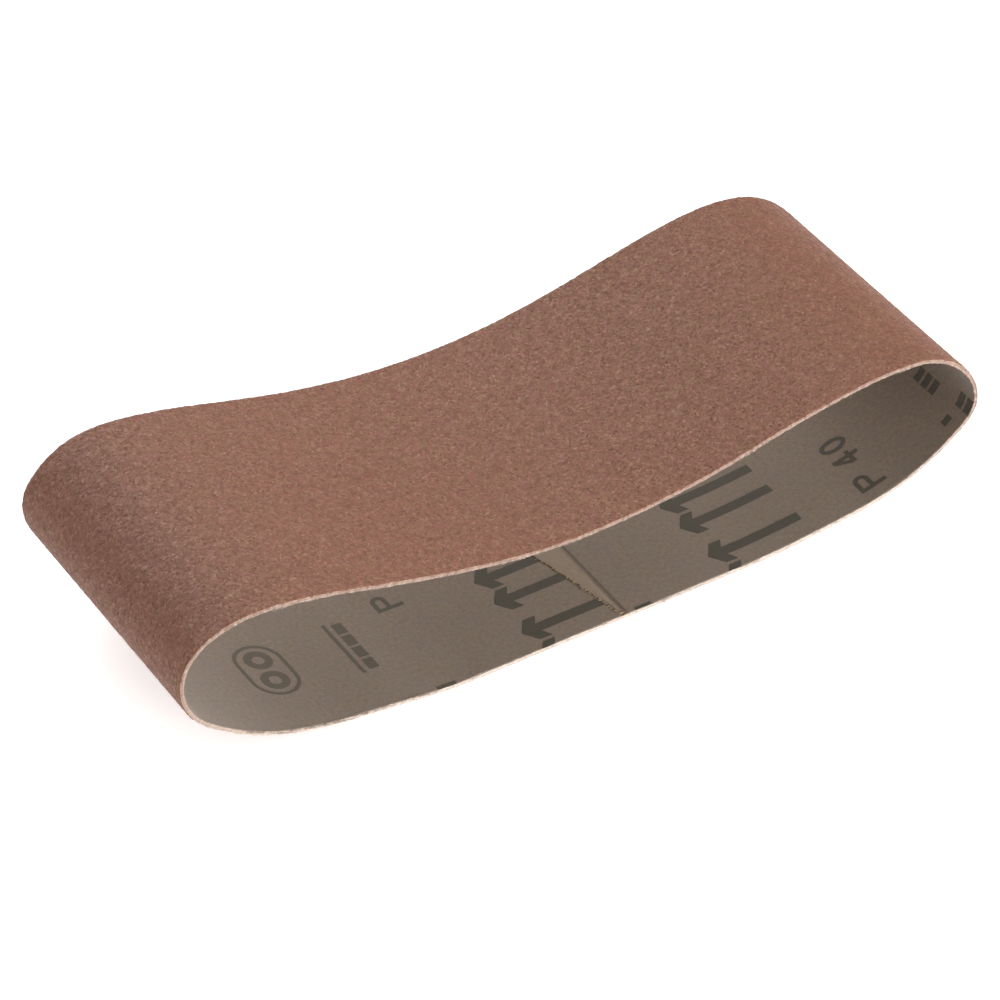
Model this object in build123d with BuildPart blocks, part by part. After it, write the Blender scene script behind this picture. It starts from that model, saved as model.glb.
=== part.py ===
from build123d import *
import os
from math import atan2, cos, degrees, radians, sin, sqrt, tan

# A cloth-backed abrasive belt for a hand-held belt sander, lying relaxed on its long side.
# It is one strip of coated abrasive, bent into a loop with the grit outside and its two
# ends lapped and glued. X runs along the loop, Y across the belt and Z up. The origin is
# the middle of the footprint, on the surface that the belt rests on. All sizes are in mm.

BELT_WIDTH = 75.0
INNER_LENGTH = 457.0

CLOTH_THICKNESS = 0.55
MAKE_COAT_THICKNESS = 0.12
GRAIN_THICKNESS = 0.43
SIZE_COAT_THICKNESS = 0.10
INK_THICKNESS = 0.04

# Depths of the layer faces, measured outward from the inner face of the cloth.
CLOTH_DEPTH = CLOTH_THICKNESS
MAKE_COAT_DEPTH = CLOTH_DEPTH + MAKE_COAT_THICKNESS
GRAIN_DEPTH = MAKE_COAT_DEPTH + GRAIN_THICKNESS
BELT_THICKNESS = GRAIN_DEPTH + SIZE_COAT_THICKNESS

# The relaxed shape of the loop: x, height above the flat and heading in degrees of the
# inner face, anticlockwise from the left end of the flat stretch that the belt rests on.
STATIONS = [
    (-30.0, 0.0, 0),
    (40.0, 0.0, 0),
    (74.0, 3.0, 8),
    (96.0, 11.4, 34),
    (104.4, 23.2, 90),
    (98.0, 33.8, 139),
    (76.0, 40.2, 184),
    (44.0, 34.0, 194),
    (0.0, 28.2, 180),
    (-46.0, 34.6, 165),
    (-80.0, 42.8, 172),
    (-98.0, 39.6, 216),
    (-104.4, 29.0, 270),
    (-92.0, 12.4, 328),
    (-64.0, 3.0, 352),
]
FULL_TURN = 360
STRAIGHT_TURN = 1e-6

# The lap splice: the end of the strip on the +X side is cut at a slant and lies inside the
# other end. LAP_EDGE_X is where that cut meets the near edge of the belt.
LAP_EDGE_X = 8.5
LAP_SLANT = 17.5
LAP_LENGTH = 10.0
GLUE_RUN = 1.0
BUTT_GAP = 0.3
LAP_COVER = 24.0

# Marks printed on the cloth. They are cut from a thin skin over the inner face.
PRINT_REACH = 20.0

# Arrows point against X and lie in pairs of lanes across the belt.
ARROW_TIP_XS = (-15.0, 36.1)
ARROW_LENGTH = 25.3
ARROW_SHAFT_HALF = 1.35
ARROW_HEAD_HALF = 3.8
ARROW_BLUNT_START = 2.6
ARROW_BARB_END = 5.8
ARROW_NECK = 4.4
FIRST_LANE_Y = -39.2
LANE_STEP = 8.6
PAIR_STEP = 20.6
PAIR_COUNT = 4

# The grade, P 40, reads along +Y, so its letters stand towards -X.
TEXT_HEIGHT = 6.8
TEXT_STROKE = 1.1
LETTER_P_WIDTH = 5.4
LETTER_P_RADIUS = 1.95
FIGURE_WIDTH = 4.3
FIGURE_4_SHIFT = 9.7
FIGURE_0_SHIFT = 15.3
GRADE_CORNERS = ((84.0, -34.0), (84.0, 14.2), (-32.5, -7.7))

# A plain symbol of a belt on two rollers, over a bar and a row of blocks.
SYMBOL_CENTRE = (-73.4, -15.6)
SYMBOL_LENGTH = 19.0
SYMBOL_HEIGHT = 12.0
SYMBOL_LINE = 0.9
ROLLER_SHIFT = 3.9
ROLLER_RADIUS = 3.4
ROLLER_BORE = 1.5
BAR_DROP = 20.0
BAR_LENGTH = 19.0
BLOCK_DROP = 23.0
BLOCK_HEIGHT = 2.6
BLOCK_COUNT = 4
BLOCK_PITCH = 4.6
BLOCK_LENGTH = 3.8


def ahead(heading):
    """The unit vector along a heading in degrees."""
    return Vector(cos(radians(heading)), sin(radians(heading)))


def outward(heading):
    """The unit vector out of the loop, to the right of a heading."""
    return ahead(heading - 90)


def turn_to(start, heading, end):
    """The turn in degrees of the arc that leaves start along heading and reaches end."""
    chord = end - start
    across = -chord.dot(outward(heading))
    along = chord.dot(ahead(heading))
    return 2 * degrees(atan2(across, along))


def biarc_joint(start, start_heading, end, end_heading):
    """The point where the two tangent arcs from start to end meet."""
    leave = ahead(start_heading)
    arrive = ahead(end_heading)
    chord = end - start
    spread = 2 * (1 - leave.dot(arrive))
    pull = 2 * chord.dot(leave + arrive)
    if spread < STRAIGHT_TURN:
        reach = chord.dot(chord) / pull
    else:
        reach = (sqrt(pull**2 + 4 * spread * chord.dot(chord)) - pull) / (2 * spread)
    return (start + end + (leave - arrive) * reach) * 0.5


def loop_arcs(stations):
    """The closed loop as arcs: start, start heading, end and end heading of each."""
    arcs = []
    first_x, first_z, first_heading = stations[0]
    following = stations[1:] + [(first_x, first_z, first_heading + FULL_TURN)]
    for (x, z, heading), (next_x, next_z, next_heading) in zip(stations, following):
        start = Vector(x, z)
        end = Vector(next_x, next_z)
        joint = biarc_joint(start, heading, end, next_heading)
        joint_heading = heading + turn_to(start, heading, joint)
        arcs.append((start, heading, joint, joint_heading))
        arcs.append((joint, joint_heading, end, next_heading))
    return arcs


def arc_length(start, heading, end, end_heading):
    half_turn = radians(end_heading - heading) / 2
    chord = (end - start).length
    if abs(half_turn) < STRAIGHT_TURN:
        return chord
    return chord * half_turn / sin(half_turn)


def draw_loop(arcs, depth):
    """Draws the loop at a depth outward from the inner face, in the current line."""
    for start, heading, end, end_heading in arcs:
        half_turn = (end_heading - heading) / 2
        middle_heading = heading + half_turn
        low = start + outward(heading) * depth
        high = end + outward(end_heading) * depth
        if abs(half_turn) < STRAIGHT_TURN:
            Line(low, high)
            continue
        bulge = (end - start).length / 2 * tan(radians(half_turn / 2))
        middle = (start + end) * 0.5 + outward(middle_heading) * (bulge + depth)
        ThreePointArc(low, middle, high)


drawn_length = sum(arc_length(*arc) for arc in loop_arcs(STATIONS))
loop_scale = INNER_LENGTH / drawn_length
inner_face = loop_arcs(
    [(x * loop_scale, z * loop_scale + BELT_THICKNESS, heading) for x, z, heading in STATIONS]
)
print(f"inner length {sum(arc_length(*arc) for arc in inner_face):.2f} mm")


def layer(inner_depth, outer_depth, mode=Mode.ADD):
    """One closed layer of the belt, between two depths outward from the inner face."""
    with BuildSketch(Plane.XZ) as section:
        with BuildLine():
            draw_loop(inner_face, outer_depth)
        make_face()
        with BuildLine():
            draw_loop(inner_face, inner_depth)
        make_face(mode=Mode.SUBTRACT)
    extrude(section.sketch, amount=BELT_WIDTH / 2, both=True, mode=mode)


def slanted_prism(outline, mode=Mode.ADD):
    """A prism across the belt, slanted like the lap, from its outline at the near edge."""
    with BuildSketch(Plane.XZ.offset(BELT_WIDTH / 2)) as section:
        Polygon(*outline, align=None)
    slant = Vector(-LAP_SLANT, BELT_WIDTH, 0)
    extrude(section.sketch, amount=slant.length, dir=slant, mode=mode)


def glue_line(mode=Mode.ADD):
    """The glue in the lap: a film that slopes through the cloth, then fills the butt gap."""
    cloth_back = BELT_THICKNESS - CLOTH_THICKNESS
    film_end = LAP_EDGE_X + LAP_LENGTH
    butt_end = film_end + GLUE_RUN
    slanted_prism(
        [
            (LAP_EDGE_X, BELT_THICKNESS),
            (film_end, cloth_back),
            (butt_end - BUTT_GAP, cloth_back),
            (butt_end - BUTT_GAP, 0),
            (butt_end, 0),
            (butt_end, cloth_back),
            (LAP_EDGE_X + GLUE_RUN, BELT_THICKNESS),
        ],
        mode,
    )


def print_on_cloth():
    """Raises the drawn marks from the floor and keeps the skin over the inner face."""
    extrude(amount=PRINT_REACH)
    layer(-INK_THICKNESS, 0, mode=Mode.INTERSECT)


def text_plane(x, y):
    """A plane for marks that read along +Y and stand towards -X."""
    return Plane(origin=(x, y, 0), x_dir=(0, 1, 0), z_dir=(0, 0, 1))


# The strip: a woven cloth backing, with the coats that hold the grit on its outer side.

with BuildPart() as backing_cloth:
    layer(0, CLOTH_DEPTH)
    glue_line(Mode.SUBTRACT)

with BuildPart() as make_coat:
    layer(CLOTH_DEPTH, MAKE_COAT_DEPTH)
    glue_line(Mode.SUBTRACT)

with BuildPart() as abrasive_grain:
    layer(MAKE_COAT_DEPTH, GRAIN_DEPTH)
    glue_line(Mode.SUBTRACT)

with BuildPart() as size_coat:
    layer(GRAIN_DEPTH, BELT_THICKNESS)
    glue_line(Mode.SUBTRACT)

with BuildPart() as splice_glue:
    glue_line()


# Running-direction arrows. The first row is cut off where the lap covers it.

with BuildPart() as direction_arrows:
    with BuildSketch():
        lanes = [
            (tip_x, FIRST_LANE_Y + pair * PAIR_STEP + lane * LANE_STEP)
            for tip_x in ARROW_TIP_XS
            for pair in range(PAIR_COUNT)
            for lane in range(2)
        ]
        with Locations(*lanes):
            Polygon(
                (0, 0),
                (ARROW_BLUNT_START, -ARROW_HEAD_HALF),
                (ARROW_BARB_END, -ARROW_HEAD_HALF),
                (ARROW_NECK, -ARROW_SHAFT_HALF),
                (ARROW_LENGTH, -ARROW_SHAFT_HALF),
                (ARROW_LENGTH, ARROW_SHAFT_HALF),
                (ARROW_NECK, ARROW_SHAFT_HALF),
                (ARROW_BARB_END, ARROW_HEAD_HALF),
                (ARROW_BLUNT_START, ARROW_HEAD_HALF),
                align=None,
            )
    print_on_cloth()
    slanted_prism(
        [
            (LAP_EDGE_X, 0),
            (LAP_EDGE_X + LAP_COVER, 0),
            (LAP_EDGE_X + LAP_COVER, PRINT_REACH),
            (LAP_EDGE_X, PRINT_REACH),
        ],
        Mode.SUBTRACT,
    )


# The grade, one P and one 40 for each place.


def letter_p():
    """The letter P, with its foot at the origin of the current plane."""
    Rectangle(TEXT_STROKE, TEXT_HEIGHT, align=(Align.MIN, Align.MIN))
    shoulder = LETTER_P_WIDTH - LETTER_P_RADIUS
    bowl_height = TEXT_HEIGHT - LETTER_P_RADIUS
    for inset, mode in ((0, Mode.ADD), (TEXT_STROKE, Mode.SUBTRACT)):
        radius = LETTER_P_RADIUS - inset
        with Locations((inset, bowl_height)):
            Rectangle(shoulder - inset, 2 * radius, align=(Align.MIN, Align.CENTER), mode=mode)
        with Locations((shoulder, bowl_height)):
            Circle(radius, mode=mode)


def figure_4(shift):
    """The figure 4, shifted along the text."""
    stem = shift + FIGURE_WIDTH - 2 * TEXT_STROKE
    stem_back = stem + TEXT_STROKE
    arm = TEXT_HEIGHT / 4
    arm_top = arm + TEXT_STROKE
    Polygon(
        (stem, 0),
        (stem_back, 0),
        (stem_back, arm),
        (shift + FIGURE_WIDTH, arm),
        (shift + FIGURE_WIDTH, arm_top),
        (stem_back, arm_top),
        (stem_back, TEXT_HEIGHT),
        (stem, TEXT_HEIGHT),
        (shift, arm_top),
        (shift, arm),
        (stem, arm),
        align=None,
    )
    Polygon(
        (stem, arm_top),
        (stem, TEXT_HEIGHT - 2 * TEXT_STROKE),
        (shift + TEXT_STROKE, arm_top),
        align=None,
        mode=Mode.SUBTRACT,
    )


def figure_0(shift):
    """The figure 0, shifted along the text."""
    with Locations((shift + FIGURE_WIDTH / 2, TEXT_HEIGHT / 2)):
        Ellipse(FIGURE_WIDTH / 2, TEXT_HEIGHT / 2)
        Ellipse(FIGURE_WIDTH / 2 - TEXT_STROKE, TEXT_HEIGHT / 2 - TEXT_STROKE, mode=Mode.SUBTRACT)


with BuildPart() as grade_marks:
    for corner_x, corner_y in GRADE_CORNERS:
        with BuildSketch(text_plane(corner_x, corner_y)):
            letter_p()
            figure_4(FIGURE_4_SHIFT)
            figure_0(FIGURE_0_SHIFT)
    print_on_cloth()


with BuildPart() as belt_symbol:
    with BuildSketch(text_plane(*SYMBOL_CENTRE)):
        SlotOverall(SYMBOL_LENGTH, SYMBOL_HEIGHT)
        SlotOverall(
            SYMBOL_LENGTH - 2 * SYMBOL_LINE, SYMBOL_HEIGHT - 2 * SYMBOL_LINE, mode=Mode.SUBTRACT
        )
        with Locations((-ROLLER_SHIFT, 0), (ROLLER_SHIFT, 0)):
            Circle(ROLLER_RADIUS)
            Circle(ROLLER_BORE, mode=Mode.SUBTRACT)
        with Locations((0, -BAR_DROP)):
            Rectangle(BAR_LENGTH, SYMBOL_LINE)
        with Locations((0, -BLOCK_DROP)):
            with GridLocations(BLOCK_PITCH, 0, BLOCK_COUNT, 1):
                Rectangle(BLOCK_LENGTH, BLOCK_HEIGHT)
    print_on_cloth()


os.makedirs("parts", exist_ok=True)
PARTS = {
    "backing_cloth": backing_cloth,
    "make_coat": make_coat,
    "abrasive_grain": abrasive_grain,
    "size_coat": size_coat,
    "splice_glue": splice_glue,
    "direction_arrows": direction_arrows,
    "grade_marks": grade_marks,
    "belt_symbol": belt_symbol,
}
for name, piece in PARTS.items():
    piece.part.label = name
    export_step(piece.part, f"parts/{name}.step")
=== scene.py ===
import math

import bpy
import numpy as np
from mathutils import Euler, Matrix, Vector
from mathutils.geometry import delaunay_2d_cdt


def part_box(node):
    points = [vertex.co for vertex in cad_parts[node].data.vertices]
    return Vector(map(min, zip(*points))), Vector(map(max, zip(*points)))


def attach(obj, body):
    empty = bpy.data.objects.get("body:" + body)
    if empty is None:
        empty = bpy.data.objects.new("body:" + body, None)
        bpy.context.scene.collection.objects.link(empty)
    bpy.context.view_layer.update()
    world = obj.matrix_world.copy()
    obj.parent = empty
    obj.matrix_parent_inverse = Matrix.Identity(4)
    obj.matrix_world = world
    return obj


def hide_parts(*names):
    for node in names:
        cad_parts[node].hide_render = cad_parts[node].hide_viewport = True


# A sanding belt: the CAD layers give the size and the loop, and this script gives the looks.
# Lengths are in millimetres until a mesh is made, which is in metres.

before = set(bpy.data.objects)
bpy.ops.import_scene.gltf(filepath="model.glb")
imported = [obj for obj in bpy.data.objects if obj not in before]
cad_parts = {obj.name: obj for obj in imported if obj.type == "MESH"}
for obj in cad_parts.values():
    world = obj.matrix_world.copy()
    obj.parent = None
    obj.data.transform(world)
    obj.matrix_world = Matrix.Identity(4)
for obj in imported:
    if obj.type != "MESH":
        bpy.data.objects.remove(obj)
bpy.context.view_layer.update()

MM = 0.001
BODY = "root"
random = np.random.default_rng(40)
scene = bpy.context.scene

cloth_low, cloth_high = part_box("backing_cloth")
BELT_WIDTH = (cloth_high.y - cloth_low.y) / MM
HALF_WIDTH = BELT_WIDTH / 2

# ---- The loop ----
# It has stations of x, z and heading, joined by tangent arcs. The far edge has the stations
# of part.py. The soft belt lies a little twisted, so its near edge has fuller curls, and comes
# out a little longer.

INNER_LENGTH = 457.0
CLOTH_DEPTH = 0.55
MAKE_COAT_DEPTH = 0.67
BELT_THICKNESS = 1.20

STATIONS = [
    (-30.0, 0.0, 0),
    (40.0, 0.0, 0),
    (74.0, 3.0, 8),
    (96.0, 11.4, 34),
    (104.4, 23.2, 90),
    (98.0, 33.8, 139),
    (76.0, 40.2, 184),
    (44.0, 34.0, 194),
    (0.0, 28.2, 180),
    (-46.0, 34.6, 165),
    (-80.0, 42.8, 172),
    (-98.0, 39.6, 216),
    (-104.4, 29.0, 270),
    (-92.0, 12.4, 328),
    (-64.0, 3.0, 352),
]
NEAR_CHANGES = {
    0: (-30.5, 0.0, 0),
    2: (73.2, 2.7, 7),
    3: (97.9, 11.9, 35),
    4: (106.5, 23.8, 99),
    5: (99.8, 35.1, 140),
    6: (74.9, 39.9, 186),
    7: (44.0, 34.3, 194),
    8: (0.0, 28.7, 181),
    9: (-46.0, 35.2, 166),
    10: (-80.0, 43.6, 170),
    11: (-101.4, 41.4, 210),
    12: (-107.0, 28.4, 281),
    13: (-92.8, 12.5, 328),
    14: (-62.8, 3.1, 354),
}
# The near edge's extra length, and the two distances round the loop that it is spread between.
NEAR_EXTRA = 4.5
LOWER_RUN_END = 104.0
LOWER_RUN_START = 419.0
NEAR_STATIONS = [NEAR_CHANGES.get(k, station) for k, station in enumerate(STATIONS)]
TINY_TURN = 1e-6


def ahead(heading):
    """The unit vectors along headings in radians, one row each."""
    return np.stack([np.cos(heading), np.sin(heading)], -1)


def outward(heading):
    """The unit vectors out of the loop, to the right of the headings."""
    return ahead(heading - math.pi / 2)


def biarc_joint(start, start_heading, end, end_heading):
    """The point where the two tangent arcs from start to end meet."""
    leave, arrive, chord = ahead(start_heading), ahead(end_heading), end - start
    spread = 2 * (1 - leave @ arrive)
    pull = 2 * chord @ (leave + arrive)
    if spread < TINY_TURN:
        reach = chord @ chord / pull
    else:
        reach = (math.sqrt(pull**2 + 4 * spread * (chord @ chord)) - pull) / (2 * spread)
    return (start + end + (leave - arrive) * reach) / 2


def loop_arcs(stations):
    """Start points, start headings, turns and lengths of the arcs round the loop."""
    first_x, first_z, first_heading = stations[0]
    following = stations[1:] + [(first_x, first_z, first_heading + 360)]
    rows = []
    for (x, z, heading), (next_x, next_z, next_heading) in zip(stations, following):
        start, end = np.array([x, z]), np.array([next_x, next_z])
        heading, next_heading = math.radians(heading), math.radians(next_heading)
        joint = biarc_joint(start, heading, end, next_heading)
        chord = joint - start
        joint_turn = 2 * math.atan2(-chord @ outward(heading), chord @ ahead(heading))
        joint_heading = heading + joint_turn
        for low, high, at, turn in (
            (start, joint, heading, joint_turn),
            (joint, end, joint_heading, next_heading - joint_heading),
        ):
            straight = np.linalg.norm(high - low)
            bent = straight if abs(turn) < TINY_TURN else straight * (turn / 2) / math.sin(turn / 2)
            rows.append((*low, at, turn, bent))
    table = np.array(rows)
    return table[:, :2], table[:, 2], table[:, 3], table[:, 4]


def fitted_loop(stations, length):
    """The arcs of a loop, scaled to a length, and the distance to each arc's end."""
    scale = length / loop_arcs(stations)[3].sum()
    arcs = loop_arcs([(x * scale, z * scale + BELT_THICKNESS, heading) for x, z, heading in stations])
    return (*arcs, np.cumsum(arcs[3]))


FAR_LOOP = fitted_loop(STATIONS, INNER_LENGTH)
NEAR_LOOP = fitted_loop(NEAR_STATIONS, INNER_LENGTH + NEAR_EXTRA)
STRIP_START = FAR_LOOP[0][0, 0]


def on_loop(loop, along, depth):
    """Points of one edge's profile, from the distance along it and out of its inner face."""
    starts, headings, turns, lengths, ends = loop
    arc = np.minimum(np.searchsorted(ends, along, side="right"), len(ends) - 1)
    run = along - (ends - lengths)[arc]
    heading = headings[arc] + turns[arc] * run / lengths[arc]
    bent = np.abs(turns[arc]) > TINY_TURN
    radius = np.where(bent, lengths[arc] / np.where(bent, turns[arc], 1), 0)
    curved = (outward(heading) - outward(headings[arc])) * radius[..., None]
    straight = ahead(heading) * run[..., None]
    return starts[arc] + np.where(bent[..., None], curved, straight) + outward(heading) * depth[..., None]


def place(s, y, depth):
    """Points of the belt, from the distance along it, across it and out of its inner face.

    On the flat stretch that the belt rests on, the distance s is nearly the same as x. The
    near edge's extra length is spread over the curls and the upper run."""
    s, y, depth = np.broadcast_arrays(s, y, depth)
    along = np.mod(s - STRIP_START, INNER_LENGTH)
    extra = np.interp(along, (LOWER_RUN_END, LOWER_RUN_START), (0, NEAR_EXTRA))
    near = np.clip((HALF_WIDTH - y) / BELT_WIDTH, 0, 1)[..., None]
    far_at, near_at = on_loop(FAR_LOOP, along, depth), on_loop(NEAR_LOOP, along + extra, depth)
    at = far_at * (1 - near) + near_at * near
    return np.stack([at[..., 0], y, at[..., 1]], -1)


def smooth_noise(s, y, pitch, seed):
    """Smooth noise from -1 to 1, repeating once round the loop, with bumps of that pitch."""
    draw = np.random.default_rng(seed)
    columns = max(4, round(INNER_LENGTH / pitch))
    rows = max(4, round(2 * BELT_WIDTH / pitch))
    grid = draw.uniform(-1, 1, (columns, rows))
    u = np.mod(s - STRIP_START, INNER_LENGTH) / INNER_LENGTH * columns
    v = np.clip((y + BELT_WIDTH) / (2 * BELT_WIDTH), 0, 0.999) * (rows - 1)
    i, j = np.floor(u).astype(int), np.floor(v).astype(int)
    a, b = u - i, v - j
    a, b = a * a * (3 - 2 * a), b * b * (3 - 2 * b)
    i, after = i % columns, (i + 1) % columns
    low = grid[i, j] * (1 - a) + grid[after, j] * a
    high = grid[i, j + 1] * (1 - a) + grid[after, j + 1] * a
    return low * (1 - b) + high * b


# ---- Meshes ----

UV_ROWS = 3
UV_MARGIN = 1.0
UV_ROW_LENGTH = INNER_LENGTH / UV_ROWS
UV_ROW_HEIGHT = BELT_WIDTH + 2 * UV_MARGIN


def lay_out(mesh, strip, hidden_faces=()):
    """Gives the mesh two UV maps: its place on the strip in mm, and the bake's layout.

    The bake's layout is the strip in rows. Hidden faces share one corner of it."""
    loops = np.zeros(len(mesh.loops), np.int32)
    mesh.loops.foreach_get("vertex_index", loops)
    starts = np.zeros(len(mesh.polygons), np.int32)
    totals = np.zeros(len(mesh.polygons), np.int32)
    mesh.polygons.foreach_get("loop_start", starts)
    mesh.polygons.foreach_get("loop_total", totals)
    face_of_loop = np.repeat(np.arange(len(totals)), totals)
    s, y = strip[loops, 0], strip[loops, 1]
    first = s[starts][face_of_loop]
    s = s + INNER_LENGTH * np.round((first - s) / INNER_LENGTH)
    middle = (np.add.reduceat(s, starts) / totals - STRIP_START)[face_of_loop]
    lap = np.floor(middle / INNER_LENGTH) * INNER_LENGTH
    row = np.floor((middle - lap) / UV_ROW_LENGTH)
    u = (s - STRIP_START - lap - row * UV_ROW_LENGTH + UV_MARGIN) / (UV_ROW_LENGTH + 2 * UV_MARGIN)
    v = (y + HALF_WIDTH + UV_MARGIN + row * UV_ROW_HEIGHT) / (UV_ROWS * UV_ROW_HEIGHT)
    bake = np.clip(np.stack([u, v], -1), 0, 1)
    bake[np.isin(face_of_loop, np.asarray(hidden_faces, int))] = 1
    for name, places in (("strip", np.stack([s, y], -1)), ("OFBake", bake)):
        layer = mesh.uv_layers.new(name=name)
        layer.data.foreach_set("uv", places.astype(np.float32).ravel())


def add_object(name, data):
    """A new object in the scene, with a mesh, a light or a camera as its data."""
    made = bpy.data.objects.new(name, data)
    scene.collection.objects.link(made)
    return made


def add_piece(name, faces, strip, material, smooth=True, hidden_faces=(), **values):
    """A mesh piece of the belt from points given by s, y and depth on the strip. values are
    float attributes by name, one number for each point or for each face."""
    mesh = bpy.data.meshes.new(name)
    mesh.from_pydata((place(*strip.T) * MM).tolist(), [], faces)
    for attribute, numbers in values.items():
        domain = "FACE" if len(numbers) == len(faces) else "POINT"
        layer = mesh.attributes.new(attribute, "FLOAT", domain)
        layer.data.foreach_set("value", np.asarray(numbers, np.float32))
    lay_out(mesh, strip, hidden_faces)
    mesh.polygons.foreach_set("use_smooth", np.full(len(mesh.polygons), smooth))
    mesh.materials.append(material)
    piece = add_object(name, mesh)
    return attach(piece, BODY)


def grid_faces(columns, rows):
    """Quads over a grid of columns x rows points, wound so that they face increasing depth
    for columns along the strip and rows across it."""
    i, j = np.meshgrid(np.arange(columns - 1), np.arange(rows - 1), indexing="ij")
    first = i * rows + j
    return np.stack([first, first + 1, first + rows + 1, first + rows], -1).reshape(-1, 4)


# ---- Materials ----


class Nodes:
    """A material's nodes, with short ways to add and join them."""

    def __init__(self, name):
        self.material = bpy.data.materials.new(name)
        self.material.use_nodes = True
        self.tree = self.material.node_tree
        self.shader = self.tree.nodes["Principled BSDF"]

    def add(self, kind, inputs=(), **settings):
        node = self.tree.nodes.new("ShaderNode" + kind)
        for name, value in settings.items():
            setattr(node, name, value)
        for name, value in dict(inputs).items():
            self.feed(node.inputs[name], value)
        return node

    def feed(self, socket, value):
        if isinstance(value, bpy.types.NodeSocket):
            self.tree.links.new(value, socket)
        else:
            socket.default_value = value

    def math(self, operation, a, b=0.0, clamp=False):
        return self.add("Math", {0: a, 1: b}, operation=operation, use_clamp=clamp).outputs[0]

    def plus(self, a, b, clamp=False):
        return self.math("ADD", a, b, clamp)

    def times(self, a, b):
        return self.math("MULTIPLY", a, b)

    def mix(self, share, a, b):
        node = self.add("Mix", data_type="RGBA")
        self.feed(node.inputs[0], share)
        self.feed(node.inputs[6], a)
        self.feed(node.inputs[7], b)
        return node.outputs[2]

    def strip(self):
        """The place on the strip in mm, as a vector."""
        return self.add("UVMap", uv_map="strip").outputs[0]

    def along(self):
        """The place on the strip in mm, along it only."""
        return self.add("SeparateXYZ", {0: self.strip()}).outputs[0]

    def value(self, attribute):
        return self.add("Attribute", attribute_name=attribute).outputs["Fac"]

    def noise(self, scale, detail=2.0, roughness=0.5, vector=None):
        inputs = {"Scale": scale, "Detail": detail, "Roughness": roughness}
        inputs["Vector"] = vector or self.strip()
        return self.add("TexNoise", inputs).outputs["Fac"]

    def ramp(self, fac, *stops):
        node = self.add("ValToRGB", {"Fac": fac})
        elements = node.color_ramp.elements
        while len(elements) < len(stops):
            elements.new(0.5)
        for element, (position, colour) in zip(elements, stops):
            element.position = position
            element.color = colour
        return node.outputs["Color"]

    def level(self, fac, low, high, to_low=0.0, to_high=1.0):
        inputs = {"Value": fac, "From Min": low, "From Max": high, "To Min": to_low, "To Max": to_high}
        return self.add("MapRange", inputs, clamp=True).outputs["Result"]

    def bump(self, height, distance, strength=1.0):
        inputs = {"Height": height, "Distance": distance * MM, "Strength": strength}
        self.feed(self.shader.inputs["Normal"], self.add("Bump", inputs).outputs["Normal"])

    def finish(self, colour, roughness, specular=0.5, sheen=0.0):
        self.feed(self.shader.inputs["Base Color"], colour)
        self.feed(self.shader.inputs["Roughness"], roughness)
        self.shader.inputs["Specular IOR Level"].default_value = specular
        self.shader.inputs["Sheen Weight"].default_value = sheen
        return self.material


def srgb(red, green, blue):
    """An opaque colour given in display values from 0 to 255, as the shader's linear numbers."""
    shares = (channel / 255 for channel in (red, green, blue))
    return *(x / 12.92 if x <= 0.04045 else ((x + 0.055) / 1.055) ** 2.4 for x in shares), 1.0


def painted_light_below(n, colour):
    """The colour, mixed with a pale one along the lower run of the loop: painted light, the lower run's
    cut edges painted paler as if brightly lit.
    """
    turn = n.math("COSINE", n.times(n.along(), 2 * math.pi / INNER_LENGTH))
    return n.mix(n.level(turn, 0.0, 0.45, 0.0, 0.65), colour, srgb(205, 194, 182))


def cut_edge(n):
    """The pale colour of the cut edges, uneven along the belt, with painted light along the lower run."""
    patch = n.noise(0.8, 3.0, 0.7)
    colour = n.mix(n.level(patch, 0.36, 0.64), srgb(120, 96, 82), srgb(166, 142, 128))
    return painted_light_below(n, colour)


def grit_material():
    """The resin-coated grit: each facet its own tone, with blotches and a pale cut rim, painted paler
    along the lower run as painted light.
    """
    n = Nodes("grit")
    facet = n.value("tone")
    blotch = n.noise(0.42, 3.0, 0.6)
    fine = n.noise(2.6, 2.0, 0.6)
    tone = n.plus(n.times(facet, 0.62), n.times(fine, 0.38))
    tone = n.plus(tone, n.times(n.math("SUBTRACT", blotch, 0.5), 0.35))
    colour = n.ramp(
        tone,
        (0.14, srgb(90, 58, 44)),
        (0.40, srgb(118, 77, 58)),
        (0.60, srgb(133, 90, 69)),
        (0.86, srgb(157, 114, 90)),
    )
    hue = n.noise(0.35, 2.0, 0.5)
    colour = n.mix(n.level(hue, 0.42, 0.68, 0.0, 0.42), colour, srgb(130, 80, 68))
    colour = n.mix(n.level(hue, 0.30, 0.52, 0.36, 0.0), colour, srgb(124, 90, 62))
    rim = n.level(n.plus(n.value("rim"), n.times(fine, 0.6)), 0.85, 1.2)
    colour = n.mix(rim, colour, cut_edge(n))
    n.bump(n.noise(3.4, 2.0, 0.7), 0.10, 0.5)
    return n.finish(colour, n.level(tone, 0.2, 0.8, 0.82, 0.5), 0.35)


def crystal_material():
    """Grains that stand through the resin, some dull red and some glassy brown."""
    n = Nodes("crystals")
    tone = n.value("tone")
    colour = n.ramp(
        tone,
        (0.0, srgb(86, 56, 43)),
        (0.35, srgb(114, 74, 56)),
        (0.75, srgb(139, 96, 73)),
        (1.0, srgb(180, 138, 110)),
    )
    colour = n.mix(n.level(n.noise(1.6), 0.4, 0.7, 0.0, 0.3), colour, srgb(106, 62, 49))
    n.bump(n.noise(6.0, 2.0, 0.7), 0.05, 0.5)
    return n.finish(colour, n.level(tone, 0.5, 1.0, 0.62, 0.3), 0.5)


WARP_PITCH = 0.42
RIB_ALONG = 1.05
RIB_ACROSS = 0.84


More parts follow.
